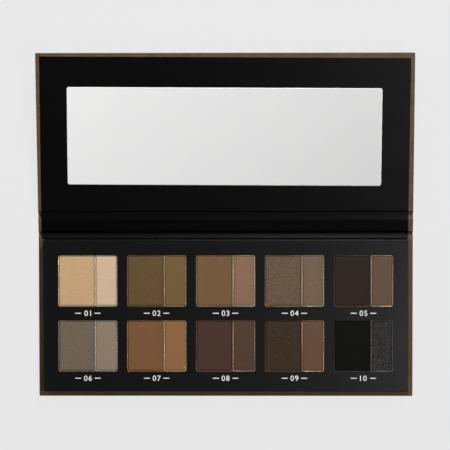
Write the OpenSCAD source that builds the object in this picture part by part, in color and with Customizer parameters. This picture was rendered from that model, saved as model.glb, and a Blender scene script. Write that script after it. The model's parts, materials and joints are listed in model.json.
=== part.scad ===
// Book-style eyeshadow palette. The base board lies flat on z = 0 and carries a tray of
// twenty tinned cakes. A narrow spine and a mirrored lid fold over it on two creases.
// The origin is the centre of the base's underside, with the hinge side towards +Y.

/* [Cover] */
// Width of the cover, left to right
cover_w = 220; // [216.5:0.5:240]
// Depth of the base panel and of the lid panel
panel_d = 95.2; // [94.6:0.2:110]
// Thickness of the board inside each panel
board_t = 2.0; // [1.6:0.1:2]
// Thickness of the outer wrapping paper
paper_t = 0.2; // [0.1:0.05:0.25]
// Thickness of the inner lining paper
liner_t = 0.1; // [0.05:0.05:0.1]
// Width of the wrapping paper turned in over the board
turn_in = 12; // [6:1:16]
// Bare border left between the lining and the panel's edge
liner_inset = 2.3; // [1.5:0.1:3]
// Angle by which the lining and the mirror were glued askew
lining_turn = 0.3; // [0:0.05:0.4]

/* [Hinge] */
// Distance between the two creases
hinge_pitch = 12; // [12:0.1:14]
// Gap between neighbouring boards at the outer paper
crease_gap = 1.0; // [1:0.1:1.4]
// Angle that the spine stands up from the table
spine_lift = 15; // [0:0.5:20]
// Angle that the lid turns on from the spine, negative where it leans back
lid_lift = -5.5; // [-10:0.5:5]

/* [Tray] */
// Width of the tray
tray_w = 214.2; // [212:0.1:214.4]
// Depth of the tray
tray_d = 89.6; // [88:0.1:89.6]
// Height of the tray's face above the table
tray_top_z = 9.5; // [8.7:0.1:9.5]
// Gap from the lower crease to the tray's back wall
tray_gap = 2.95; // [2.95:0.05:3.2]
// Radius of the tray's upright corners
tray_r = 1.2; // [0.5:0.1:2]
// Thickness of the card that covers the tray
card_t = 0.3; // [0.2:0.05:0.4]

/* [Shades] */
// Number of shade columns
columns = 5; // [5]
// Number of shade rows
rows = 2; // [2]
// Distance between window columns
pitch_x = 40.4; // [40:0.1:41]
// Distance between window rows
pitch_y = 38.25; // [38:0.05:38.5]
// Width of one window
window_w = 34.8; // [34:0.1:35]
// Depth of one window
window_d = 30.3; // [29.5:0.1:31]
// Distance from the tray's back edge to the first row of windows
window_back = 9.15; // [8.5:0.05:9.5]
// Width of the wide tin
wide_w = 21.5; // [20:0.1:22]
// Gap between the two tins of a window
tin_gap = 0.2; // [0.1:0.05:0.3]
// Thickness of a tin's wall
tin_t = 0.3; // [0.2:0.05:0.4]
// Clearance between a tin and its window
tin_clear = 0.15; // [0.1:0.05:0.2]
// Depth of a tin's rim below the tray's face
rim_drop = 0.3; // [0.1:0.05:0.4]
// Depth of a cake's face below its rim
cake_drop = 0.25; // [0.1:0.05:0.4]
// Radius of a tin's corners
tin_r = 1.2; // [0.8:0.1:2]

/* [Mirror] */
// Width of the mirror
mirror_w = 183.2; // [170:0.1:184]
// Depth of the mirror
mirror_d = 57.6; // [50:0.1:58]
// Thickness of the mirror
mirror_t = 1.1; // [0.9:0.05:1.1]
// Distance from the upper crease to the mirror's near edge
mirror_near = 17.9; // [16:0.1:18]
// Sideways shift of the mirror
mirror_shift = -0.25; // [-1:0.05:1]
// Radius of the mirror's corners
mirror_r = 1.2; // [0.8:0.1:2]

/* [Closure] */
// Diameter of a closing magnet
magnet_d = 8; // [6:0.5:9]
// Thickness of a closing magnet
magnet_t = 2; // [1:0.5:3]
// Diameter of a steel disc in the lid
disc_d = 9; // [6:0.5:9]
// Thickness of a steel disc in the lid
disc_t = 0.8; // [0.5:0.1:0.9]
// Distance from the middle to each magnet
magnet_x = 55; // [30:1:90]
// Distance from the lower crease to the magnets
magnet_back = 86.6; // [86:0.1:87]

/* [Hidden] */
SHADE_NODES = [
  for (piece = ["pan_wide", "pan_narrow", "cake_wide", "cake_narrow"], i = [1:10]) str(piece, "_", i),
];
$fn = 48;

// Colours, as flat stand-ins for the finishes
wrap_colour = [0.41, 0.32, 0.24];
liner_colour = [0.06, 0.06, 0.06];
board_colour = [0.62, 0.60, 0.56];
tin_colour = [0.75, 0.75, 0.74];
wide_colours = [
  [0.77, 0.64, 0.47], [0.38, 0.30, 0.20], [0.45, 0.36, 0.27], [0.43, 0.38, 0.33],
  [0.17, 0.14, 0.13], [0.42, 0.40, 0.35], [0.49, 0.33, 0.21], [0.28, 0.20, 0.19],
  [0.22, 0.18, 0.16], [0.08, 0.08, 0.08],
];
narrow_colours = [
  [0.81, 0.71, 0.57], [0.43, 0.36, 0.25], [0.54, 0.43, 0.34], [0.45, 0.39, 0.34],
  [0.39, 0.33, 0.28], [0.52, 0.48, 0.42], [0.54, 0.40, 0.28], [0.33, 0.25, 0.22],
  [0.37, 0.29, 0.24], [0.19, 0.20, 0.20],
];

// Heights through a panel, from its outer face inwards
board_top = paper_t + board_t;
turn_top = board_top + paper_t;
liner_top = turn_top + liner_t;
axis_z = paper_t / 2;
half_gap = crease_gap / 2;
// The board ends are mitred at 45 degrees, so the groove is wider inside than outside
groove = half_gap + board_t;
// The lining of a groove laps this far onto each panel
lap = groove + 0.4;
panel_end = half_gap + panel_d;

// The lower crease in the part's own frame
hinge_y = panel_d / 2 + half_gap;

// Tray
tray_floor_t = 2.4;
tray_back_y = hinge_y - tray_gap;
tray_mid_y = tray_back_y - tray_d / 2;
floor_top = turn_top + tray_floor_t;
face_t = 0.4;
grid_top = tray_top_z - face_t;
core_w = tray_w - 2 * card_t;
core_d = tray_d - 2 * card_t;
cut = 1;
eps = 0.01;

// Windows, tins and cakes
window_r = tin_r + tin_clear;
rim_z = tray_top_z - rim_drop;
cake_z = rim_z - cake_drop;
tin_d = window_d - 2 * tin_clear;
narrow_w = window_w - 2 * tin_clear - tin_gap - wide_w;

// Mirror recess
half_board = board_t / 2;
pad_t = 0.15;
recess_z = paper_t + half_board;
mirror_mid = mirror_near + mirror_d / 2;
recess_clear = 0.2;
pocket_clear = 0.1;

// ---- helpers ----

// A block with rounded upright corners, centred in x and y, standing on z = 0
module slab(w, d, h, r) {
  linear_extrude(height = h) rounded(w, d, r);
}

// A rounded rectangle
module rounded(w, d, r) {
  x = w / 2 - r;
  y = d / 2 - r;
  square([w, d - 2 * r], center = true);
  square([w - 2 * r, d], center = true);
  for (sx = [-1, 1], sy = [-1, 1]) translate([sx * x, sy * y]) circle(r = r);
}

// A side outline, given as [depth, height] points, swept across a width
module across(w, points) {
  translate([-w / 2, 0, 0]) rotate([90, 0, 90]) linear_extrude(height = w) polygon(points);
}

// Middle of window i, counted along the back row and then the front row
function window_mid(i) = [
  (i % columns - (columns - 1) / 2) * pitch_x,
  tray_back_y - window_back - window_d / 2 - floor(i / columns) * pitch_y,
];

module each_window(z) {
  for (i = [0 : columns * rows - 1]) translate(concat(window_mid(i), z)) children();
}

// The base panel is drawn from the lower crease towards -Y
module at_base() {
  translate([0, hinge_y, 0]) mirror([0, 1, 0]) children();
}

// The spine is drawn flat from its crease towards +Y, then lifted about the crease
module at_spine() {
  translate([0, hinge_y, axis_z]) rotate([spine_lift, 0, 0]) translate([0, 0, -axis_z]) children();
}

module at_lid() {
  at_spine() translate([0, hinge_pitch, axis_z]) rotate([lid_lift, 0, 0])
    translate([0, 0, -axis_z]) children();
}

// ---- panels, each drawn flat from its crease towards +Y ----

// Board with its crease end mitred, between two heights
module panel_board(z0, z1) {
  across(cover_w - 2 * paper_t, [
    [half_gap + z0 - paper_t, z0],
    [panel_end - paper_t, z0],
    [panel_end - paper_t, z1],
    [half_gap + z1 - paper_t, z1],
  ]);
}

// Wrapping paper: the outer sheet, three edges and their turn-ins
module panel_wrap() {
  difference() {
    translate([-cover_w / 2, half_gap, 0]) cube([cover_w, panel_d, turn_top]);
    translate([-cover_w / 2 + paper_t, -cut, paper_t])
      cube([cover_w - 2 * paper_t, panel_end - paper_t + cut, board_t]);
    translate([-cover_w / 2 + turn_in, -cut, paper_t])
      cube([cover_w - 2 * turn_in, panel_end - turn_in + cut, board_t + cut]);
    across(cover_w + 2 * cut, [
      [-cut, paper_t], [half_gap, paper_t], [groove, board_top],
      [lap, board_top], [lap, turn_top + cut], [-cut, turn_top + cut],
    ]);
  }
}

// Angle at a crease turned into a point of the next panel
function turned(p, angle) = [
  p[0] * cos(angle) - (p[1] - axis_z) * sin(angle),
  p[0] * sin(angle) + (p[1] - axis_z) * cos(angle) + axis_z,
];

// One half of the folded strip's outline, on the panel after the crease
strip_outer = [[half_gap, 0], [half_gap, paper_t], [groove, board_top], [lap, board_top]];
strip_inner = [[lap, liner_top], [groove, liner_top], [0.35, 2 * paper_t]];

function flipped(points) = [for (p = points) [-p[0], p[1]]];
function backwards(points) = [for (i = [len(points) - 1 : -1 : 0]) points[i]];

// Paper strip that lines the groove and joins two panels
module crease_strip(angle) {
  near = concat(strip_outer, strip_inner);
  far = [for (p = near) turned(p, angle)];
  across(cover_w, concat(far, backwards(flipped(near))));
}

// ---- base ----

module base_board() {
  color(board_colour) at_base() panel_board(paper_t, board_top);
}

module base_wrap() {
  color(wrap_colour) at_base() panel_wrap();
}

module tray_floor() {
  bed_d = panel_d - turn_in + half_gap - tray_gap - card_t;
  color(board_colour) {
    translate([0, tray_mid_y, turn_top]) slab(core_w, core_d, tray_floor_t, tray_r - card_t);
    translate([-cover_w / 2 + turn_in, tray_back_y - card_t - bed_d, board_top])
      cube([cover_w - 2 * turn_in, bed_d, paper_t + eps]);
  }
}

module tray_grid() {
  color(board_colour) difference() {
    translate([0, tray_mid_y, floor_top])
      slab(core_w, core_d, grid_top - floor_top, tray_r - card_t);
    each_window(floor_top - cut) slab(window_w, window_d, tray_top_z, window_r);
    for (side = [-1, 1]) at_magnet(side, grid_top - magnet_t)
      cylinder(d = magnet_d + 2 * pocket_clear, h = magnet_t + cut);
  }
}

module tray_cover() {
  color(liner_colour) difference() {
    translate([0, tray_mid_y, turn_top]) slab(tray_w, tray_d, tray_top_z - turn_top, tray_r);
    translate([0, tray_mid_y, turn_top - cut])
      slab(core_w, core_d, grid_top - turn_top + cut, tray_r - card_t);
    each_window(grid_top - cut) slab(window_w, window_d, face_t + 2 * cut, window_r);
  }
}

module at_magnet(side, z) {
  translate([side * magnet_x, hinge_y - magnet_back, z]) children();
}

module tray_magnet(side) {
  color(tin_colour) at_magnet(side, grid_top - magnet_t) cylinder(d = magnet_d, h = magnet_t);
}

// ---- tins and cakes ----

// Puts a wide tin's middle, then a narrow tin's, in window i
module at_wide(i) {
  x = -window_w / 2 + tin_clear + wide_w / 2;
  translate(concat(window_mid(i) + [x, 0], floor_top)) children();
}

module at_narrow(i) {
  x = window_w / 2 - tin_clear - narrow_w / 2;
  translate(concat(window_mid(i) + [x, 0], floor_top)) children();
}

module tin(w) {
  inner_r = tin_r - tin_t;
  color(tin_colour) difference() {
    slab(w, tin_d, rim_z - floor_top, tin_r);
    translate([0, 0, tin_t]) slab(w - 2 * tin_t, tin_d - 2 * tin_t, tray_top_z, inner_r);
  }
}

module cake(w, colour) {
  color(colour) translate([0, 0, tin_t])
    slab(w - 2 * tin_t, tin_d - 2 * tin_t, cake_z - floor_top - tin_t, tin_r - tin_t);
}

module pan_wide(i) { at_wide(i) tin(wide_w); }
module pan_narrow(i) { at_narrow(i) tin(narrow_w); }
module cake_wide(i) { at_wide(i) cake(wide_w, wide_colours[i]); }
module cake_narrow(i) { at_narrow(i) cake(narrow_w, narrow_colours[i]); }

// ---- creases and spine ----

module lower_crease() {
  color(wrap_colour) translate([0, hinge_y, 0]) crease_strip(spine_lift);
}

module upper_crease() {
  color(wrap_colour) at_spine() translate([0, hinge_pitch, 0]) crease_strip(lid_lift);
}

module spine_board() {
  color(board_colour) at_spine() across(cover_w - 2 * paper_t, [
    [half_gap, paper_t], [hinge_pitch - half_gap, paper_t],
    [hinge_pitch - groove, board_top], [groove, board_top],
  ]);
}

module spine_wrap() {
  color(wrap_colour) at_spine() difference() {
    across(cover_w, [
      [half_gap, 0], [hinge_pitch - half_gap, 0], [hinge_pitch - half_gap, paper_t],
      [hinge_pitch - groove, board_top], [hinge_pitch - lap, board_top],
      [hinge_pitch - lap, turn_top], [lap, turn_top], [lap, board_top],
      [groove, board_top], [half_gap, paper_t],
    ]);
    translate([-cover_w / 2 + paper_t, -cut, paper_t])
      cube([cover_w - 2 * paper_t, hinge_pitch + 2 * cut, board_t]);
    translate([-cover_w / 2 + turn_in, -cut, paper_t])
      cube([cover_w - 2 * turn_in, hinge_pitch + 2 * cut, board_t + cut]);
  }
}

module spine_liner() {
  span = hinge_pitch - 2 * lap;
  shift = -panel_d * sin(lining_turn);
  color(liner_colour) at_spine() {
    translate([-cover_w / 2 + liner_inset + shift, lap, turn_top])
      cube([cover_w - 2 * liner_inset, span, liner_t]);
    translate([-cover_w / 2 + turn_in, lap, board_top])
      cube([cover_w - 2 * turn_in, span, paper_t + eps]);
  }
}

// ---- lid ----

module lid_board() {
  color(board_colour) at_lid() panel_board(paper_t, recess_z);
}

module lid_frame() {
  color(board_colour) at_lid() difference() {
    panel_board(recess_z, board_top);
    mirror_recess();
    for (side = [-1, 1]) at_disc(side, recess_z - cut)
      cylinder(d = disc_d + 2 * pocket_clear, h = half_board + 2 * cut);
  }
}

// Turns the lining and the mirror about the middle of the lid's far edge
module askew() {
  translate([0, panel_end, 0]) rotate([0, 0, -lining_turn]) translate([0, -panel_end, 0]) children();
}

module mirror_recess() {
  askew() translate([mirror_shift, mirror_mid, recess_z - cut])
    slab(mirror_w + 2 * recess_clear, mirror_d + 2 * recess_clear, liner_top + cut,
      mirror_r + recess_clear);
}

module lid_wrap() {
  color(wrap_colour) at_lid() panel_wrap();
}

module lid_liner() {
  color(liner_colour) at_lid() difference() {
    union() {
      intersection() {
        askew() translate([-cover_w / 2 + liner_inset, -cut, turn_top])
          cube([cover_w - 2 * liner_inset, panel_end - liner_inset + cut, liner_t]);
        translate([-cover_w / 2, lap, 0]) cube([cover_w, panel_end, liner_top + cut]);
      }
      translate([-cover_w / 2 + turn_in, lap, board_top])
        cube([cover_w - 2 * turn_in, panel_end - turn_in - lap, paper_t + eps]);
    }
    mirror_recess();
  }
}

module mirror_pad() {
  margin = 4;
  color([0.85, 0.85, 0.82]) at_lid() askew() translate([mirror_shift, mirror_mid, recess_z])
    slab(mirror_w - 2 * margin, mirror_d - 2 * margin, pad_t, mirror_r);
}

module mirror_glass() {
  color([0.88, 0.89, 0.90]) at_lid() askew() translate([mirror_shift, mirror_mid, recess_z + pad_t])
    slab(mirror_w, mirror_d, mirror_t, mirror_r);
}

module at_disc(side, z) {
  translate([side * magnet_x, magnet_back, z]) children();
}

module lid_disc(side) {
  color(tin_colour) at_lid() at_disc(side, recess_z) cylinder(d = disc_d, h = disc_t);
}

base_board();
base_wrap();
tray_floor();
tray_grid();
tray_cover();
tray_magnet(-1);  // tray_magnet_left
tray_magnet(1);  // tray_magnet_right
for (i = [0:9]) pan_wide(i);
for (i = [0:9]) pan_narrow(i);
for (i = [0:9]) cake_wide(i);
for (i = [0:9]) cake_narrow(i);
lower_crease();
spine_board();
spine_wrap();
spine_liner();
upper_crease();
lid_board();
lid_frame();
lid_wrap();
lid_liner();
mirror_glass();  // mirror
mirror_pad();
lid_disc(-1);  // lid_disc_left
lid_disc(1);  // lid_disc_right
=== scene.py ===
"""Looks of an open, book-style eyeshadow palette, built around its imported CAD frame."""

import json
import math

import bmesh
import bpy
from mathutils import Matrix, Vector

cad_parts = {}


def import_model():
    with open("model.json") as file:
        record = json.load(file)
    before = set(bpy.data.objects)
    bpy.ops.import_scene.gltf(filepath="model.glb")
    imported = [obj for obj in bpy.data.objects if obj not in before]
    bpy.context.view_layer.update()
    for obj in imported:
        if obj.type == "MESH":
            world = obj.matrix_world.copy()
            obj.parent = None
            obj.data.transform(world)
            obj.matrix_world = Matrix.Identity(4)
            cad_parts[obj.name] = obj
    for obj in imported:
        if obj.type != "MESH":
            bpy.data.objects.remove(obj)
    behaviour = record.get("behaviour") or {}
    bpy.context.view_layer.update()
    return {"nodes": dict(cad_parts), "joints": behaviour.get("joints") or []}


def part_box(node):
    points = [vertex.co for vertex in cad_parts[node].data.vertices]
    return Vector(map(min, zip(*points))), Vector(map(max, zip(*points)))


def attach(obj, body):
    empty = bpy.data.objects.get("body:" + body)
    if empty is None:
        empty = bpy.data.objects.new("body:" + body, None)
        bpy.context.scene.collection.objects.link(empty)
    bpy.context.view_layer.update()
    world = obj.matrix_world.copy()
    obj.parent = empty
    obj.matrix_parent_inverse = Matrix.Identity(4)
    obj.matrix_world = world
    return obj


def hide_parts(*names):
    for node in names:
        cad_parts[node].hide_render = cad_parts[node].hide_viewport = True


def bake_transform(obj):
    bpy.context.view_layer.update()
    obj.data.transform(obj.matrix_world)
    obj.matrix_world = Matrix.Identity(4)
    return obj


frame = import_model()

MM = 0.001


# ---- the frame's own sizes, in millimetres ----


def box_mm(node):
    """Lowest and highest corner of a CAD node, in millimetres."""
    low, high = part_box(node)
    return low / MM, high / MM


JOINTS = {joint["name"]: joint for joint in frame["joints"]}


def lift_of(joint):
    """A hinge's highest angle stands its panel square to the one before it."""
    return math.radians(90 - JOINTS[joint]["range_deg"][1])


BASE_LOW, BASE_HIGH = box_mm("base_wrap")
TRAY_LOW, TRAY_HIGH = box_mm("tray_cover")
CAKE_TOP = box_mm("cake_wide_1")[1].z
LOWER_CREASE = Vector(JOINTS["spine_hinge"]["pos_m"]) / MM
UPPER_CREASE = Vector(JOINTS["lid_hinge"]["pos_m"]) / MM

COVER_W = BASE_HIGH.x - BASE_LOW.x
PANEL_D = BASE_HIGH.y - BASE_LOW.y
AXIS_Z = LOWER_CREASE.z
HALF_GAP = LOWER_CREASE.y - BASE_HIGH.y
PITCH = (UPPER_CREASE - LOWER_CREASE).length
TURN_TOP = BASE_HIGH.z
PAPER = 2 * AXIS_Z
BOARD_TOP = TURN_TOP - PAPER
BOARD = BOARD_TOP - PAPER
GROOVE = HALF_GAP + BOARD
LAP = GROOVE + 0.4
PANEL_END = HALF_GAP + PANEL_D

TURN_IN = 12.0
LINING = 0.1
LINING_TOP = TURN_TOP + LINING
LINING_INSET = 2.3
LINING_TURN = math.radians(0.3)
LINING_SHIFT = -PANEL_D * math.sin(LINING_TURN)
LINING_CORNER = 0.4
FOLD_R = 0.35
CORNER_R = 0.5

MIRROR_W = 183.2
MIRROR_D = 57.6
MIRROR_NEAR = 17.9
MIRROR_SHIFT = -0.25
MIRROR_R = 1.2
MIRROR_LOW = 1.35
MIRROR_TOP = 2.45
RECESS_CLEAR = 0.2
RECESS_LOW = 1.2
GROUND_EDGE = 0.3

TIN_WALL = 0.3
TIN_CORNER = 1.2
CAKE_CORNER = 0.9


# ---- mesh helpers ----


def placed(*steps):
    """One matrix from a list of moves, the last one applied first."""
    result = Matrix.Identity(4)
    for step in steps:
        result = result @ step
    return result


def move(x, y, z):
    return Matrix.Translation((x, y, z))


def turn(angle, axis):
    return Matrix.Rotation(angle, 4, axis)


# Panels are drawn flat, from their crease towards +Y, in millimetres
AT_BASE = placed(move(0, LOWER_CREASE.y, 0), Matrix.Diagonal((1, -1, 1, 1)))
AT_SPINE = placed(move(*LOWER_CREASE), turn(lift_of("spine_hinge"), "X"), move(0, 0, -AXIS_Z))
AT_LID = placed(
    AT_SPINE, move(0, PITCH, AXIS_Z), turn(lift_of("lid_hinge"), "X"), move(0, 0, -AXIS_Z)
)
ASKEW = placed(move(0, PANEL_END, 0), turn(-LINING_TURN, "Z"), move(0, -PANEL_END, 0))


def edited(mesh, *steps):
    """Runs bmesh steps on a mesh and writes the result back."""
    bm = bmesh.new()
    bm.from_mesh(mesh)
    for step in steps:
        step(bm)
    bm.to_mesh(mesh)
    bm.free()


def weld(bm):
    bmesh.ops.remove_doubles(bm, verts=bm.verts, dist=1e-7)


def normals_out(bm):
    bmesh.ops.recalc_face_normals(bm, faces=bm.faces)


def make(name, verts, faces, materials, body=None, matrix=None, smooth=False, face_slots=None):
    """A mesh object from points in millimetres, with its normals set outwards."""
    mesh = bpy.data.meshes.new(name)
    matrix = matrix or Matrix.Identity(4)
    points = [(matrix @ Vector(v)) * MM for v in verts]
    mesh.from_pydata(points, [], faces)
    for material in materials:
        mesh.materials.append(material)
    for index, slot in enumerate(face_slots or []):
        mesh.polygons[index].material_index = slot
    edited(mesh, weld, normals_out)
    for polygon in mesh.polygons:
        polygon.use_smooth = smooth
    piece = bpy.data.objects.new(name, mesh)
    bpy.context.scene.collection.objects.link(piece)
    if body:
        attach(piece, body)
    return piece


def thickened(piece, thickness):
    """Gives a shell its thickness, inwards from its outer face."""
    modifier = piece.modifiers.new("thickness", "SOLIDIFY")
    modifier.thickness = thickness * MM
    modifier.offset = -1.0
    modifier.use_even_offset = True
    graph = bpy.context.evaluated_depsgraph_get()
    mesh = bpy.data.meshes.new_from_object(piece.evaluated_get(graph))
    old = piece.data
    piece.modifiers.clear()
    piece.data = mesh
    bpy.data.meshes.remove(old)


def corner_loop(corners, radius, steps=6):
    """A four-cornered outline, counter-clockwise, with each corner rounded by an arc."""
    points = []
    for i, corner in enumerate(corners):
        before = (Vector(corners[i - 1]) - Vector(corner)).normalized()
        after = (Vector(corners[(i + 1) % 4]) - Vector(corner)).normalized()
        half = math.acos(max(-1.0, min(1.0, before.dot(after)))) / 2
        centre = Vector(corner) + (before + after).normalized() * radius / math.sin(half)
        reach = radius / math.tan(half)
        start = Vector(corner) + before * reach - centre
        sweep = math.pi - 2 * half
        for step in range(steps + 1):
            angle = sweep * step / steps
            arm = Vector(
                (
                    start.x * math.cos(angle) - start.y * math.sin(angle),
                    start.x * math.sin(angle) + start.y * math.cos(angle),
                )
            )
            points.append(centre + arm)
    return points


def rectangle(w, d, x=0.0, y=0.0):
    return [
        (x - w / 2, y - d / 2),
        (x + w / 2, y - d / 2),
        (x + w / 2, y + d / 2),
        (x - w / 2, y + d / 2),
    ]


def round_rect(w, d, radius, x=0.0, y=0.0, steps=6):
    return corner_loop(rectangle(w, d, x, y), max(radius, 0.01), steps)


def footprint(node):
    """A CAD node's width, depth, middle x and middle y, then its lowest and highest z."""
    low, high = box_mm(node)
    middle = (low + high) / 2
    return high.x - low.x, high.y - low.y, middle.x, middle.y, low.z, high.z


def loft(rings, closed=False):
    """Vertices and faces through rings of [x, y, z] points; capped at both ends, or closed."""
    count = len(rings[0])
    verts = [p for ring in rings for p in ring]
    faces = []
    spans = len(rings) if closed else len(rings) - 1
    for k in range(spans):
        a = k * count
        b = (k + 1) % len(rings) * count
        for i in range(count):
            j = (i + 1) % count
            faces.append((a + i, a + j, b + j, b + i))
    if not closed:
        faces.append(tuple(reversed(range(count))))
        faces.append(tuple(range(len(verts) - count, len(verts))))
    return verts, faces


def ring(outline, z):
    return [(p[0], p[1], z) for p in outline]


def arc(radius, steps, start=0.0, sweep=math.pi / 2):
    """(sideways, up) offsets along an arc, as steps from a corner's centre."""
    angles = [start + sweep * i / steps for i in range(steps + 1)]
    return [(radius * math.cos(a), radius * math.sin(a)) for a in angles]


# ---- materials ----


def new_material(name):
    material = bpy.data.materials.new(name)
    material.use_nodes = True
    nodes = material.node_tree.nodes
    shader = nodes["Principled BSDF"]
    return material, nodes, material.node_tree.links, shader


def add_noise(nodes, links, scale, detail=3.0, roughness=0.55, stretch=(1, 1, 1)):
    """Noise in the piece's own coordinates; scale counts features per metre."""
    place = nodes.new("ShaderNodeTexCoord")
    mapping = nodes.new("ShaderNodeMapping")
    mapping.inputs["Scale"].default_value = stretch
    noise = nodes.new("ShaderNodeTexNoise")
    noise.inputs["Scale"].default_value = scale
    noise.inputs["Detail"].default_value = detail
    noise.inputs["Roughness"].default_value = roughness
    links.new(place.outputs["Object"], mapping.inputs["Vector"])
    links.new(mapping.outputs["Vector"], noise.inputs["Vector"])
    return noise.outputs["Fac"]


def add_ramp(nodes, links, source, stops):
    """A colour ramp fed by source; stops are (position, colour) pairs."""
    node = nodes.new("ShaderNodeValToRGB")
    elements = node.color_ramp.elements
    while len(elements) < len(stops):
        elements.new(0.5)
    for element, (position, colour) in zip(elements, stops):
        element.position = position
        element.color = (*colour, 1.0)
    links.new(source, node.inputs["Fac"])
    return node.outputs["Color"]


def add_range(nodes, links, source, start, end, to_start=0.0, to_end=1.0):
    """Maps source from start..end to to_start..to_end, and holds it there."""
    node = nodes.new("ShaderNodeMapRange")
    node.inputs["From Min"].default_value = start
    node.inputs["From Max"].default_value = end
    node.inputs["To Min"].default_value = to_start
    node.inputs["To Max"].default_value = to_end
    links.new(source, node.inputs["Value"])
    return node.outputs["Result"]


def roughness_from(nodes, links, shader, source, middle, spread):
    """Roughness that strays from its middle by as much as spread."""
    rough = add_range(nodes, links, source, 0.0, 1.0, middle - spread, middle + spread)
    links.new(rough, shader.inputs["Roughness"])


def add_bump(nodes, links, shader, height, strength, distance):
    """Bumps from a height texture; distance is their depth in metres."""
    node = nodes.new("ShaderNodeBump")
    node.inputs["Strength"].default_value = strength
    node.inputs["Distance"].default_value = distance
    links.new(height, node.inputs["Height"])
    links.new(node.outputs["Normal"], shader.inputs["Normal"])
    return node


def shade(colour, factor):
    return tuple(min(1.0, max(0.0, c * factor)) for c in colour)


def linear(r, g, b):
    """Linear colour from 8-bit display values."""

    def one(v):
        v = v / 255
        return v / 12.92 if v <= 0.04045 else ((v + 0.055) / 1.055) ** 2.4

    return one(r), one(g), one(b)


def paper(name, colour, roughness, specular, mottle=0.12, grain=0.12, scale=900.0, wave=0.0):
    """Paper or card: fine stretched fibres, a slow mottle in its colour, and soft waves."""
    material, nodes, links, shader = new_material(name)
    slow = add_noise(nodes, links, scale / 6, detail=2.0)
    stops = [(0.3, shade(colour, 1 - mottle)), (0.7, shade(colour, 1 + mottle))]
    links.new(add_ramp(nodes, links, slow, stops), shader.inputs["Base Color"])
    fibres = add_noise(nodes, links, scale, detail=5.0, stretch=(1.0, 2.2, 1.0))
    bump = add_bump(nodes, links, shader, fibres, grain, 0.00006)
    if wave:
        waves = add_noise(nodes, links, 22.0, detail=1.0, stretch=(0.7, 1.6, 1.0))
        broad = nodes.new("ShaderNodeBump")
        broad.inputs["Distance"].default_value = wave * MM
        links.new(waves, broad.inputs["Height"])
        links.new(broad.outputs["Normal"], bump.inputs["Normal"])
    roughness_from(nodes, links, shader, fibres, roughness, 0.06)
    shader.inputs["Specular IOR Level"].default_value = specular
    return material


def metal(name, colour, roughness):
    """Plated metal with a faint, even grain."""
    material, nodes, links, shader = new_material(name)
    grain = add_noise(nodes, links, 1500.0)
    tone = add_ramp(nodes, links, grain, [(0.3, shade(colour, 0.9)), (0.7, colour)])
    links.new(tone, shader.inputs["Base Color"])
    roughness_from(nodes, links, shader, grain, roughness, 0.07)
    shader.inputs["Metallic"].default_value = 1.0
    return material


def dusty_tin(name, dust, metal_and_painted_gleam):
    """A tin whose bright rim carries a film of its own powder, and is dusted with it in places;
    how much its metal colour is brightened is partly the tin's shine and partly a painted
    highlight.
    """
    material, nodes, links, shader = new_material(name)
    grain = add_noise(nodes, links, 1100.0, detail=4.0)
    settled = add_range(nodes, links, grain, 0.42, 0.68)
    film_and_painted_gleam = tuple(min(0.95, metal_and_painted_gleam * c**0.7) for c in dust)
    tone = add_ramp(nodes, links, settled, [(0, film_and_painted_gleam), (1, dust)])
    links.new(tone, shader.inputs["Base Color"])
    for socket, clean, dusty in (("Metallic", 1.0, 0.1), ("Roughness", 0.26, 0.7)):
        blend = add_range(nodes, links, settled, 0.0, 1.0, clean, dusty)
        links.new(blend, shader.inputs[socket])
    return material


def with_flecks(nodes, links, tone, colour, shimmer, glitter):
    """The tone with bright flecks in it: many fine pearl ones, or fewer and larger glitter. Their
    lighter colour is partly the pearl's own and partly a painted glint.
    """
    place = nodes.new("ShaderNodeTexCoord")
    cells = nodes.new("ShaderNodeTexVoronoi")
    cells.inputs["Scale"].default_value = 4200.0 if shimmer else 2600.0
    links.new(place.outputs["Object"], cells.inputs["Vector"])
    level = nodes.new("ShaderNodeSeparateColor")
    links.new(cells.outputs["Color"], level.inputs["Color"])
    share = 0.25 if shimmer else 0.5
    flecks = add_range(nodes, links, level.outputs["Red"], 1 - share, 1.0)
    # How much lighter the flecks are: partly pearl colour, partly painted glint.
    lift = 0.16 * shimmer + 0.12 * glitter
    flecks_and_painted_glints = nodes.new("ShaderNodeMix")
    flecks_and_painted_glints.data_type = "RGBA"
    flecks_and_painted_glints.inputs["B"].default_value = (*(min(1.0, c + lift) for c in colour), 1.0)
    links.new(flecks, flecks_and_painted_glints.inputs["Factor"])
    links.new(tone, flecks_and_painted_glints.inputs["A"])
    return flecks_and_painted_glints.outputs["Result"]


def with_painted_edge_shade(nodes, links, tone):
    """The tone with painted shade where a cake's edge drops below its crown."""
    place = nodes.new("ShaderNodeTexCoord")
    height = nodes.new("ShaderNodeSeparateXYZ")
    links.new(place.outputs["Object"], height.inputs["Vector"])
    # Painted shade: the colour falls to a quarter as the edge drops away from the crown.
    deep, shallow, darkest = (CAKE_TOP - 0.45) * MM, (CAKE_TOP - 0.03) * MM, 0.25
    painted_shade = add_range(nodes, links, height.outputs["Z"], deep, shallow, darkest)
    edge = nodes.new("ShaderNodeVectorMath")
    edge.operation = "SCALE"
    links.new(tone, edge.inputs[0])
    links.new(painted_shade, edge.inputs["Scale"])
    return edge.outputs["Vector"]


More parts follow.
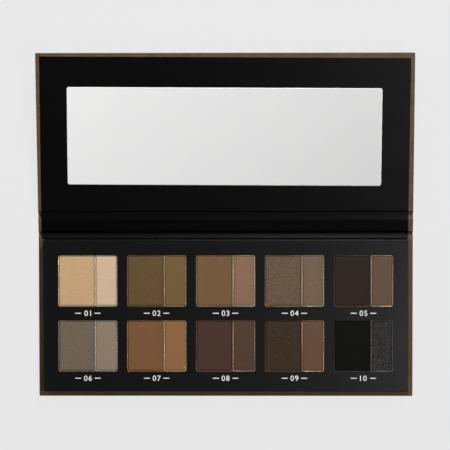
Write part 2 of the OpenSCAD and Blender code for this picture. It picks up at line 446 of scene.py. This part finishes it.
def powder(name, colour, shimmer=0.0, glitter=0.0):
    """Pressed powder: fine grain, soft streaks, pearl flecks partly painted as glints, and painted
    shade on its sunken edge.
    """
    material, nodes, links, shader = new_material(name)
    grain = add_noise(nodes, links, 5200.0, detail=4.0, roughness=0.7)
    cloud = add_noise(nodes, links, 240.0, stretch=(1.0, 3.0, 1.0))
    grain_share = 0.55
    fine = nodes.new("ShaderNodeMath")
    fine.operation = "MULTIPLY"
    fine.inputs[1].default_value = grain_share
    links.new(grain, fine.inputs[0])
    both = nodes.new("ShaderNodeMath")
    both.operation = "MULTIPLY_ADD"
    both.inputs[1].default_value = 1 - grain_share
    links.new(cloud, both.inputs[0])
    links.new(fine.outputs[0], both.inputs[2])
    spread = 0.07 + 0.10 * shimmer
    stops = [(0.36, shade(colour, 1 - spread)), (0.64, shade(colour, 1 + spread))]
    tone = add_ramp(nodes, links, both.outputs[0], stops)
    if shimmer or glitter:
        tone = with_flecks(nodes, links, tone, colour, shimmer, glitter)
    links.new(with_painted_edge_shade(nodes, links, tone), shader.inputs["Base Color"])
    shader.inputs["Roughness"].default_value = 0.62 if shimmer else 0.85
    shader.inputs["Specular IOR Level"].default_value = 0.12 if shimmer else 0.06
    add_bump(nodes, links, shader, grain, 0.35, 0.00005)
    return material


def mirror_silver():
    """A clean mirror, with the least haze."""
    material, nodes, links, shader = new_material("mirror_silver")
    haze = add_noise(nodes, links, 60.0, detail=2.0)
    tone = add_ramp(nodes, links, haze, [(0.3, (0.93, 0.935, 0.935)), (0.7, (0.95, 0.95, 0.945))])
    links.new(tone, shader.inputs["Base Color"])
    shader.inputs["Metallic"].default_value = 1.0
    shader.inputs["Roughness"].default_value = 0.02
    return material


WRAP = paper("wrap_paper", linear(90, 70, 46), 0.62, 0.2, mottle=0.16, grain=0.35, scale=1300.0)
LINER = paper(
    "liner_paper", (0.0005, 0.0005, 0.0005), 0.37, 0.07, mottle=0.1, grain=0.06, wave=0.5
)
CARD = paper(
    "tray_card", (0.0036, 0.0036, 0.0037), 0.33, 0.135, mottle=0.08, grain=0.06, wave=0.15
)
GREYBOARD = paper("greyboard", (0.30, 0.28, 0.25), 0.9, 0.15, mottle=0.2, grain=0.5, scale=1800.0)
INK = paper("label_ink", (0.95, 0.95, 0.95), 0.6, 0.2, mottle=0.02, grain=0.05, scale=3000.0)
ADHESIVE = paper("adhesive_film", (0.72, 0.71, 0.66), 0.4, 0.4, mottle=0.05, grain=0.05)
NICKEL = metal("nickel_plate", (0.66, 0.65, 0.62), 0.3)
SILVER = mirror_silver()
GROUND = paper("ground_glass_edge", (0.95, 0.95, 0.95), 0.5, 0.5, mottle=0.03, grain=0.05)

# Shades as display colours, wide and narrow, with how much each shimmers or glitters
SHADES = [
    ((194, 160, 121), (204, 178, 147), 0.0, 0.0),
    ((95, 72, 43), (111, 87, 55), 0.25, 0.0),
    ((114, 87, 63), (132, 104, 81), 0.0, 0.0),
    ((93, 73, 54), (107, 87, 68), 0.8, 0.0),
    ((46, 38, 32), (97, 78, 64), 0.0, 0.0),
    ((109, 95, 78), (140, 122, 102), 0.3, 0.0),
    ((118, 80, 50), (141, 99, 63), 0.2, 0.0),
    ((73, 53, 45), (83, 62, 51), 0.0, 0.0),
    ((52, 36, 22), (97, 72, 54), 0.3, 0.0),
    ((18, 19, 16), (37, 35, 34), 0.0, 0.5),
]


# ---- cover panels ----


def panel_edge(z):
    """How far from the crease a panel's side begins, at height z: its end is mitred."""
    if z > BOARD_TOP:
        return LAP
    return HALF_GAP + max(0.0, z - PAPER)


def wrap_outline(inset, z, steps=5):
    """The path round a panel's three wrapped edges, from the crease and back to it."""
    x = COVER_W / 2 - inset
    end = PANEL_END - inset
    radius = max(CORNER_R - inset, 0.001)
    start = panel_edge(z)
    points = [(-x, start, z)]
    for centre_x, first in ((-x + radius, math.pi), (x - radius, math.pi / 2)):
        for i in range(steps + 1):
            a = first - math.pi / 2 * i / steps
            points.append(
                (centre_x + radius * math.cos(a), end - radius + radius * math.sin(a), z)
            )
    points.append((x, start, z))
    return points


def wrap_profile():
    """(inset, height) pairs down the outside of a wrapped edge, from turn-in to underside."""
    top = [(FOLD_R - dx, TURN_TOP - FOLD_R + dz) for dx, dz in reversed(arc(FOLD_R, 4))]
    low = [(FOLD_R - dx, FOLD_R - dz) for dx, dz in arc(FOLD_R, 4)]
    return [(TURN_IN, TURN_TOP)] + top + low + [(TURN_IN, 0.0)]


def cover_panel(name, node, body, matrix):
    """Paper wrapped round a board: underside, three folded edges and their turn-ins."""
    rings = [wrap_outline(inset, z) for inset, z in wrap_profile()]
    count = len(rings[0])
    verts = [p for r in rings for p in r]
    faces = []
    for k in range(len(rings) - 1):
        for i in range(count - 1):
            a = k * count + i
            faces.append((a, a + 1, a + count + 1, a + count))
    last = (len(rings) - 1) * count
    faces.append(tuple(range(last, last + count)))
    piece = make(name, verts, faces, [WRAP], matrix=matrix)
    face_outwards(piece, matrix)
    just_clear = 0.97
    thickened(piece, PAPER * just_clear)
    edited(piece.data, normals_out)
    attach(piece, body)
    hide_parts(node)


def face_outwards(piece, matrix):
    """Turns an open shell's faces away from the middle of its panel."""
    middle = (matrix @ Vector((0, PANEL_D / 2, TURN_TOP / 2))) * MM
    underside = max(piece.data.polygons, key=lambda p: p.area)
    if (underside.center - middle).dot(underside.normal) < 0:
        edited(piece.data, lambda bm: bmesh.ops.reverse_faces(bm, faces=bm.faces))


def across(name, outline, half_w, material, matrix, x_mid=0.0, end_size=0.985):
    """A closed [depth, height] outline swept across the width, a little smaller at its ends."""
    soft = 0.05
    middle_s = sum(p[0] for p in outline) / len(outline)
    middle_z = sum(p[1] for p in outline) / len(outline)

    def section(x, size):
        return [
            (x + x_mid, middle_s + (s - middle_s) * size, middle_z + (z - middle_z) * size)
            for s, z in outline
        ]

    rings = [
        section(-half_w, end_size),
        section(-half_w + soft, 1.0),
        section(half_w - soft, 1.0),
        section(half_w, end_size),
    ]
    verts, faces = loft(rings)
    return make(name, verts, faces, [material], matrix=matrix)


def cover_spine():
    """The spine's wrap: a mitred sleeve with its turn-ins at both ends."""
    outline = [
        (HALF_GAP, 0),
        (PITCH - HALF_GAP, 0),
        (PITCH - HALF_GAP, PAPER),
        (PITCH - GROOVE, BOARD_TOP),
        (PITCH - LAP, TURN_TOP),
        (LAP, TURN_TOP),
        (GROOVE, BOARD_TOP),
        (HALF_GAP, PAPER),
    ]
    piece = across("cover_spine", outline, COVER_W / 2, WRAP, AT_SPINE)
    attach(piece, "spine")
    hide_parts("spine_wrap")


# ---- linings ----


def lining_lid():
    """Black paper over the lid, turned down into the mirror's recess."""
    half = COVER_W / 2 - LINING_INSET
    far = PANEL_END - LINING_INSET

    def skewed(x, y):
        p = ASKEW @ Vector((x, y, 0))
        return p.x, p.y

    def on_near(x):
        """Where the lining's side meets the crease, which isn't askew."""
        low, high = Vector(skewed(x, 0)), Vector(skewed(x, far))
        share = (LAP - low.y) / (high.y - low.y)
        return tuple(low.lerp(high, share))

    corners = [on_near(-half), on_near(half), skewed(half, far), skewed(-half, far)]

    def opening(grow):
        """The mirror's window in the lining, grown by an amount all round."""
        outline = round_rect(
            MIRROR_W + 2 * (RECESS_CLEAR + grow),
            MIRROR_D + 2 * (RECESS_CLEAR + grow),
            MIRROR_R + RECESS_CLEAR + grow,
            MIRROR_SHIFT,
            MIRROR_NEAR + MIRROR_D / 2,
        )
        return [skewed(*p) for p in outline]

    window = opening(0.0)
    wide = opening(0.15)
    outer = corner_loop(corners, LINING_CORNER)
    soft = 0.05
    inset = corner_loop(shrunk(corners, soft), LINING_CORNER - soft)
    rings = [
        ring(wide, TURN_TOP - 0.1),
        ring(outer, TURN_TOP - 0.02),
        ring(outer, LINING_TOP - 0.03),
        ring(inset, LINING_TOP),
        ring(wide, LINING_TOP),
        ring(window, LINING_TOP - 0.12),
        ring(window, RECESS_LOW + 0.05),
        ring(wide, RECESS_LOW + 0.05),
    ]
    verts, faces = loft(rings, closed=True)
    piece = make("lining_lid", verts, faces, [LINER], "lid", AT_LID)
    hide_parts("lid_liner")


def shrunk(corners, amount):
    """A four-cornered outline moved in by an amount along both axes."""
    cx = sum(c[0] for c in corners) / 4
    cy = sum(c[1] for c in corners) / 4
    return [
        (x - math.copysign(amount, x - cx), y - math.copysign(amount, y - cy)) for x, y in corners
    ]


def lining_spine():
    """Black paper over the spine, shifted to meet the lid's lining at its skewed near corners."""
    half = COVER_W / 2 - LINING_INSET
    outline = [
        (LAP, BOARD_TOP + 0.05),
        (PITCH - LAP, BOARD_TOP + 0.05),
        (PITCH - LAP, LINING_TOP),
        (LAP, LINING_TOP),
    ]
    piece = across("lining_spine", outline, half, LINER, AT_SPINE, x_mid=LINING_SHIFT)
    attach(piece, "spine")
    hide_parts("spine_liner")


# ---- creases ----

# Lining across each groove, as [depth, height] points from the near panel to the far one.
# The lower one is slack and folds up sharply against the spine. The upper one slopes down
# gently, and steps up at the lid's board.
LOWER_DIP = [(-2.4, 2.48), (-1.5, 2.2), (-0.3, 1.85), (0.6, 1.75), (1.1, 2.15), (1.6, 2.88)]
UPPER_DIP = [
    (-2.5, 2.48), (-1.6, 2.36), (-0.6, 2.225), (0.5, 2.10),
    (1.4, 2.025), (2.25, 1.985), (2.42, 2.17), (2.8, 2.225),
]


def smooth_path(points, steps):
    """A curve through [depth, height] points that keeps its two end directions."""
    path = []
    last = len(points) - 1
    for i in range(last):
        before, a = Vector(points[max(i - 1, 0)]), Vector(points[i])
        b, after = Vector(points[i + 1]), Vector(points[min(i + 2, last)])
        for step in range(steps):
            t = step / steps
            pull = (b - before) * t + (2 * before - 5 * a + 4 * b - after) * t**2
            pull += (3 * a - 3 * b + after - before) * t**3
            path.append(tuple(a + pull / 2))
    path.append(tuple(points[-1]))
    return path


def bent(point, angle):
    """A point beyond a crease, turned with the next panel about the crease."""
    s, z = point
    if s <= 0:
        return point
    z = z - AXIS_Z
    return (
        s * math.cos(angle) - z * math.sin(angle),
        s * math.sin(angle) + z * math.cos(angle) + AXIS_Z,
    )


def crease_paper(which, matrix, angle):
    """The wrapping paper folded down one panel's mitred end and up the next one's."""
    valley, half_floor = 2.05, 0.25
    floor_z = TURN_TOP - valley
    half = [(half_floor, floor_z), (GROOVE, TURN_TOP), (LAP, TURN_TOP), (LAP, BOARD_TOP)]
    half += [(GROOVE, BOARD_TOP), (HALF_GAP, PAPER), (HALF_GAP + 0.02, 0.0)]
    outline = [bent(p, angle) for p in half + [(-s, z) for s, z in reversed(half)]]
    piece = across(f"crease_{which}", outline, COVER_W / 2, WRAP, matrix)
    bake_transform(piece)
    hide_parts(f"{which}_crease")


def crease_lining(which, matrix, angle, dip):
    """The lining that sags across a groove; dip lists the points between the two panels."""
    steps, run_on = 5, 0.4
    near_end = [(-LAP - run_on, LINING_TOP), (-LAP, LINING_TOP)]
    far_end = [bent((s, LINING_TOP), angle) for s in (LAP, LAP + run_on)]
    top = smooth_path(near_end + dip + far_end, steps)[steps:-steps]
    under = [(s, z - LINING) for s, z in top]
    piece = across(
        f"crease_lining_{which}",
        top + under[::-1],
        COVER_W / 2 - LINING_INSET,
        LINER,
        matrix,
        x_mid=LINING_SHIFT,
        end_size=1.0,
    )
    piece.data.shade_smooth()
    piece.data.set_sharp_from_angle(angle=math.radians(50))
    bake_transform(piece)


def creases():
    """Both hinges: the wrapping paper's groove, and the strip of lining over it."""
    lower = move(0, LOWER_CREASE.y, 0)
    upper = placed(AT_SPINE, move(0, PITCH, 0))
    for which, bodies, matrix, dip in (
        ("lower", ("base", "spine"), lower, LOWER_DIP),
        ("upper", ("spine", "lid"), upper, UPPER_DIP),
    ):
        joint = "spine_hinge" if which == "lower" else "lid_hinge"
        crease_paper(which, matrix, lift_of(joint))
        crease_lining(which, matrix, lift_of(joint), dip)


# ---- tray ----


def tray_shell():
    """The tray's card cover, with its folded top edge and its cut window edges softened."""
    mesh = bpy.data.meshes.new("tray_shell")
    bm = bmesh.new()
    bm.from_mesh(frame["nodes"]["tray_cover"].data)
    weld(bm)
    bmesh.ops.dissolve_limit(
        bm, angle_limit=math.radians(1), verts=bm.verts, edges=bm.edges, delimit=set()
    )
    top = TRAY_HIGH.z * MM
    rim = [e for e in bm.edges if all(abs(v.co.z - top) < 1e-6 for v in e.verts)]
    rim = [e for e in rim if e.calc_face_angle(0.0) > 1.0]

    def on_outside(vert):
        near = 1.5 * MM
        by_side = abs(vert.co.x) > TRAY_HIGH.x * MM - near
        by_end = vert.co.y > TRAY_HIGH.y * MM - near or vert.co.y < TRAY_LOW.y * MM + near
        return by_side or by_end

    outside = [e for e in rim if any(on_outside(v) for v in e.verts)]
    inside = [e for e in rim if not any(on_outside(v) for v in e.verts)]
    for edges, width, segments in ((inside, 0.11, 3), (outside, 0.6, 6)):
        bmesh.ops.bevel(
            bm,
            geom=edges,
            offset=width * MM,
            segments=segments,
            profile=0.5,
            affect="EDGES",
            clamp_overlap=True,
        )
    normals_out(bm)
    bm.to_mesh(mesh)
    bm.free()
    mesh.materials.append(CARD)
    piece = bpy.data.objects.new("tray_shell", mesh)
    bpy.context.scene.collection.objects.link(piece)
    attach(piece, "base")
    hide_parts("tray_cover")


def tin(name, node, material):
    """A pressed tin with a rolled rim, drawn as rings round a rounded rectangle."""
    w, d, x, y, low, high = footprint(node)
    rim_r = TIN_WALL / 2
    foot_r = 0.35
    inner_r = 0.3

    def at(inset, z):
        return ring(round_rect(w - 2 * inset, d - 2 * inset, TIN_CORNER - inset, x, y), z)

    foot = [at(foot_r, low), at(0.1, low + 0.1), at(0.0, low + foot_r)]
    rim = [at(rim_r - dx, high - rim_r + dz) for dx, dz in arc(rim_r, 8, 0, math.pi)]
    inside = [at(TIN_WALL, low + TIN_WALL + inner_r), at(TIN_WALL + inner_r, low + TIN_WALL)]
    verts, faces = loft(foot + rim + inside)
    piece = make(name, verts, faces, [material], "base")
    piece.data.shade_smooth()
    piece.data.set_sharp_from_angle(angle=math.radians(40))
    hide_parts(node)


# How a cake's edge rounds off: (inset, height from its top) pairs, from its side to its crown
CAKE_EDGE = [(0.0, -0.8), (0.05, -0.62), (0.16, -0.4), (0.32, -0.2), (0.55, -0.07), (0.9, -0.02)]


def cake(name, node, material, seed):
    """A pressed cake: a soft crown, a crumbled edge that sinks to the tin, and a faint sway."""
    w, d, x, y, low, high = footprint(node)

    def at(inset, corner):
        return round_rect(w - 2 * inset, d - 2 * inset, corner, x, y, 8)

    rings = [ring(at(0.0, CAKE_CORNER), low)]
    for inset, drop in CAKE_EDGE:
        outline = at(inset, CAKE_CORNER - inset * 0.6)
        rings.append([(p[0], p[1], high + drop + wander(p, seed, drop)) for p in outline])
    for inset in (1.4, 2.6, 4.0, 5.2):
        rings.append(ring(at(inset, 0.5), high - 0.004))
    verts, faces = loft(rings)
    piece = make(name, verts, faces, [material], "base", smooth=True)
    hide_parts(node)


def wander(point, seed, drop):
    """A small unevenness along a cake's edge, from a few sine waves."""
    if drop < -0.3:
        return 0.0
    phase = seed * 1.7
    waves = math.sin(point[0] * 1.9 + phase) + math.sin(point[1] * 2.3 + phase * 1.3)
    fine = math.sin(point[0] * 5.1 - phase) * math.sin(point[1] * 4.3 + phase)
    return min(0.0, -0.012 * (waves + 1.2 * fine) - 0.01)


def shades():
    """A wide and a narrow tin for each shade, with a pressed cake in each."""
    for number, (wide, narrow, shimmer, glitter) in enumerate(SHADES, 1):
        # The narrow tins' rims are brightened more than the wide ones': a painted highlight.
        filling(number, "wide", linear(*wide), shimmer, 0.0, 2.4, number)
        filling(number, "narrow", linear(*narrow), shimmer * 0.5, glitter, 4.2, number + 10)


def filling(number, kind, colour, shimmer, glitter, metal_and_painted_gleam, seed):
    """One tin and its cake; the rim factor sets how far the tin's rim outshines its powder, partly
    as a painted highlight.
    """
    tag = f"{kind}_{number}"
    material = powder(f"powder_{tag}", colour, shimmer, glitter)
    tin(f"tin_{tag}", f"pan_{tag}", dusty_tin(f"tin_{tag}", colour, metal_and_painted_gleam))
    cake(f"powder_cake_{tag}", f"cake_{tag}", material, seed)


# ---- labels ----

INK_H = 0.01


def label_text(number, cap):
    """A number as flat outlines, as high as cap, centred on its own middle."""
    curve = bpy.data.curves.new(f"figures_{number}", "FONT")
    curve.body = f"{number:02d}"
    curve.align_x = "CENTER"
    curve.resolution_u = 4
    curve.space_character = 1.15
    curve.extrude = INK_H
    piece = bpy.data.objects.new("figures", curve)
    bpy.context.scene.collection.objects.link(piece)
    graph = bpy.context.evaluated_depsgraph_get()
    mesh = bpy.data.meshes.new_from_object(piece.evaluated_get(graph))
    bpy.data.objects.remove(piece)
    xs = [v.co.x for v in mesh.vertices]
    ys = [v.co.y for v in mesh.vertices]
    scale = cap / (max(ys) - min(ys))
    middle = ((max(xs) + min(xs)) / 2, (max(ys) + min(ys)) / 2)
    verts = [
        ((v.co.x - middle[0]) * scale, (v.co.y - middle[1]) * scale, v.co.z) for v in mesh.vertices
    ]
    faces = [tuple(p.vertices) for p in mesh.polygons]
    bpy.data.meshes.remove(mesh)
    return verts, faces


def labels():
    """A printed number between two short rules, in front of each window."""
    cap, drop, rule_w, rule_h, rule_x = 3.2, 3.95, 3.6, 0.45, 5.7
    for number in range(1, 11):
        wide_low = box_mm(f"pan_wide_{number}")[0]
        narrow_high = box_mm(f"pan_narrow_{number}")[1]
        x = (wide_low.x + narrow_high.x) / 2
        y = wide_low.y - drop
        z = TRAY_HIGH.z
        verts, faces = label_text(number, cap)
        for side in (-1, 1):
            outline = round_rect(rule_w, rule_h, rule_h / 2 - 0.01, side * rule_x, 0, 3)
            more, more_faces = loft([ring(outline, -INK_H), ring(outline, INK_H)])
            offset = len(verts)
            verts += more
            faces += [tuple(i + offset for i in f) for f in more_faces]
        piece = make(f"label_{number}", verts, faces, [INK], "base", move(x, y, z))


# ---- mirror ----


def mirror():
    """The glass: silver on its two faces, and ground on its edge."""
    y = MIRROR_NEAR + MIRROR_D / 2

    def at(inset, z):
        outline = round_rect(
            MIRROR_W - 2 * inset, MIRROR_D - 2 * inset, MIRROR_R - inset, MIRROR_SHIFT, y, 8
        )
        return ring(outline, z)

    bevel = 0.12
    rings = [
        at(bevel, MIRROR_LOW),
        at(0.0, MIRROR_LOW + bevel),
        at(0.0, MIRROR_TOP - bevel),
        at(GROUND_EDGE, MIRROR_TOP),
    ]
    verts, faces = loft(rings)
    materials = [SILVER, GROUND]
    slots = [1] * (len(faces) - 2) + [0, 0]
    where = placed(AT_LID, ASKEW)
    piece = make("mirror_plate", verts, faces, materials, "lid", where, face_slots=slots)
    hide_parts("mirror")


# ---- carried-over CAD nodes ----


def dress_hidden():
    """Materials for the pieces inside the cover and the tray."""
    boards = ["base_board", "spine_board", "lid_board", "lid_frame", "tray_floor", "tray_grid"]
    metals = ["tray_magnet_left", "tray_magnet_right", "lid_disc_left", "lid_disc_right"]
    for material, names in ((GREYBOARD, boards), (NICKEL, metals), (ADHESIVE, ["mirror_pad"])):
        for name in names:
            slots = frame["nodes"][name].data.materials
            slots.clear()
            slots.append(material)


# ---- stage, lights and camera ----

# The part of the sky that the lid's mirror shows, and the way across it that grows brighter
SKY_PANEL_AIM = (-0.015, -0.349, 0.937)
SKY_PANEL_ACROSS = (-0.554, 0.832, 0.0)
AMBIENT = 0.10

CAMERA_AT = (0.02087, 0.12604, 1.46993)
CAMERA_TILT, CAMERA_YAW, CAMERA_ROLL = (math.radians(a) for a in (2.837, -0.827, 0.023))


def floor():
    """A pale table that mostly glows by itself."""
    size = 3000.0
    verts = [(-size, -size, 0), (size, -size, 0), (size, size, 0), (-size, size, 0)]
    material, nodes, links, shader = new_material("pale_floor")
    haze = add_noise(nodes, links, 3.0, detail=1.0)
    tone = add_ramp(nodes, links, haze, [(0.0, (0.045, 0.045, 0.045)), (1.0, (0.05, 0.05, 0.05))])
    links.new(tone, shader.inputs["Base Color"])
    shader.inputs["Roughness"].default_value = 1.0
    shader.inputs["Specular IOR Level"].default_value = 0.0
    shader.inputs["Emission Color"].default_value = (1.0, 1.0, 1.0, 1.0)
    shader.inputs["Emission Strength"].default_value = 0.76
    piece = make("floor", verts, [(0, 1, 2, 3)], [material])


def world():
    """A dim studio with one soft panel of light, placed where the mirror looks."""
    sky = bpy.data.worlds.new("studio")
    bpy.context.scene.world = sky
    sky.use_nodes = True
    nodes, links = sky.node_tree.nodes, sky.node_tree.links
    place = nodes.new("ShaderNodeTexCoord")

    def along(axis, low, high, to_low, to_high):
        """Brightness that changes along an axis of the sky."""
        dot = nodes.new("ShaderNodeVectorMath")
        dot.operation = "DOT_PRODUCT"
        dot.inputs[1].default_value = axis
        links.new(place.outputs["Generated"], dot.inputs[0])
        return add_range(nodes, links, dot.outputs["Value"], low, high, to_low, to_high)

    def combine(operation, a, b):
        node = nodes.new("ShaderNodeMath")
        node.operation = operation
        links.new(a, node.inputs[0])
        links.new(b, node.inputs[1])
        return node.outputs[0]

    rim, core = (math.cos(math.radians(degrees)) for degrees in (16, 8))
    panel = along(SKY_PANEL_AIM, rim, core, 0, 1)
    panel.node.interpolation_type = "SMOOTHSTEP"
    fall = along(SKY_PANEL_ACROSS, -0.36, -0.22, 0.62, 0.90)
    ambient = along((0.0, 0.0, 1.0), 0.0, 0.9, AMBIENT * 0.5, AMBIENT)
    strength = combine("MAXIMUM", combine("MULTIPLY", panel, fall), ambient)
    background = nodes["Background"]
    background.inputs["Color"].default_value = (1.0, 1.0, 0.995, 1.0)
    links.new(strength, background.inputs["Strength"])


def area_light(name, position, target, size, power):
    """A square light, in metres and watts."""
    light = bpy.data.lights.new(name, "AREA")
    light.shape = "SQUARE"
    light.size = size
    light.energy = power
    lamp = bpy.data.objects.new(name, light)
    lamp.location = position
    aim = Vector(target) - Vector(position)
    lamp.rotation_euler = aim.to_track_quat("-Z", "Y").to_euler()
    bpy.context.scene.collection.objects.link(lamp)


def camera():
    """A long lens high over the lid, looking almost straight down."""
    lens = bpy.data.cameras.new("camera")
    lens.sensor_width = 36.0
    lens.lens = 200.0
    lens.clip_end = 20.0
    eye = bpy.data.objects.new("camera", lens)
    spin = placed(turn(CAMERA_ROLL, "Z"), turn(CAMERA_YAW, "Y"), turn(CAMERA_TILT, "X"))
    eye.matrix_world = placed(move(*CAMERA_AT), spin.inverted())
    bpy.context.scene.collection.objects.link(eye)
    bpy.context.scene.camera = eye


camera()
world()
floor()
area_light("key", (0.12, 0.55, 0.50), (0.0, 0.05, 0.0), 0.22, 4.0)
area_light("softbox", (0.30, -0.09, 0.74), (0.02, 0.03, 0.0), 0.12, 1.9)
area_light("fill", (-0.45, 0.25, 0.45), (-0.02, 0.03, 0.0), 0.30, 1.1)

cover_panel("cover_base", "base_wrap", "base", AT_BASE)
cover_panel("cover_lid", "lid_wrap", "lid", AT_LID)
cover_spine()
lining_lid()
lining_spine()
creases()
tray_shell()
shades()
labels()
mirror()
dress_hidden()

bpy.context.scene.view_settings.view_transform = "Standard"
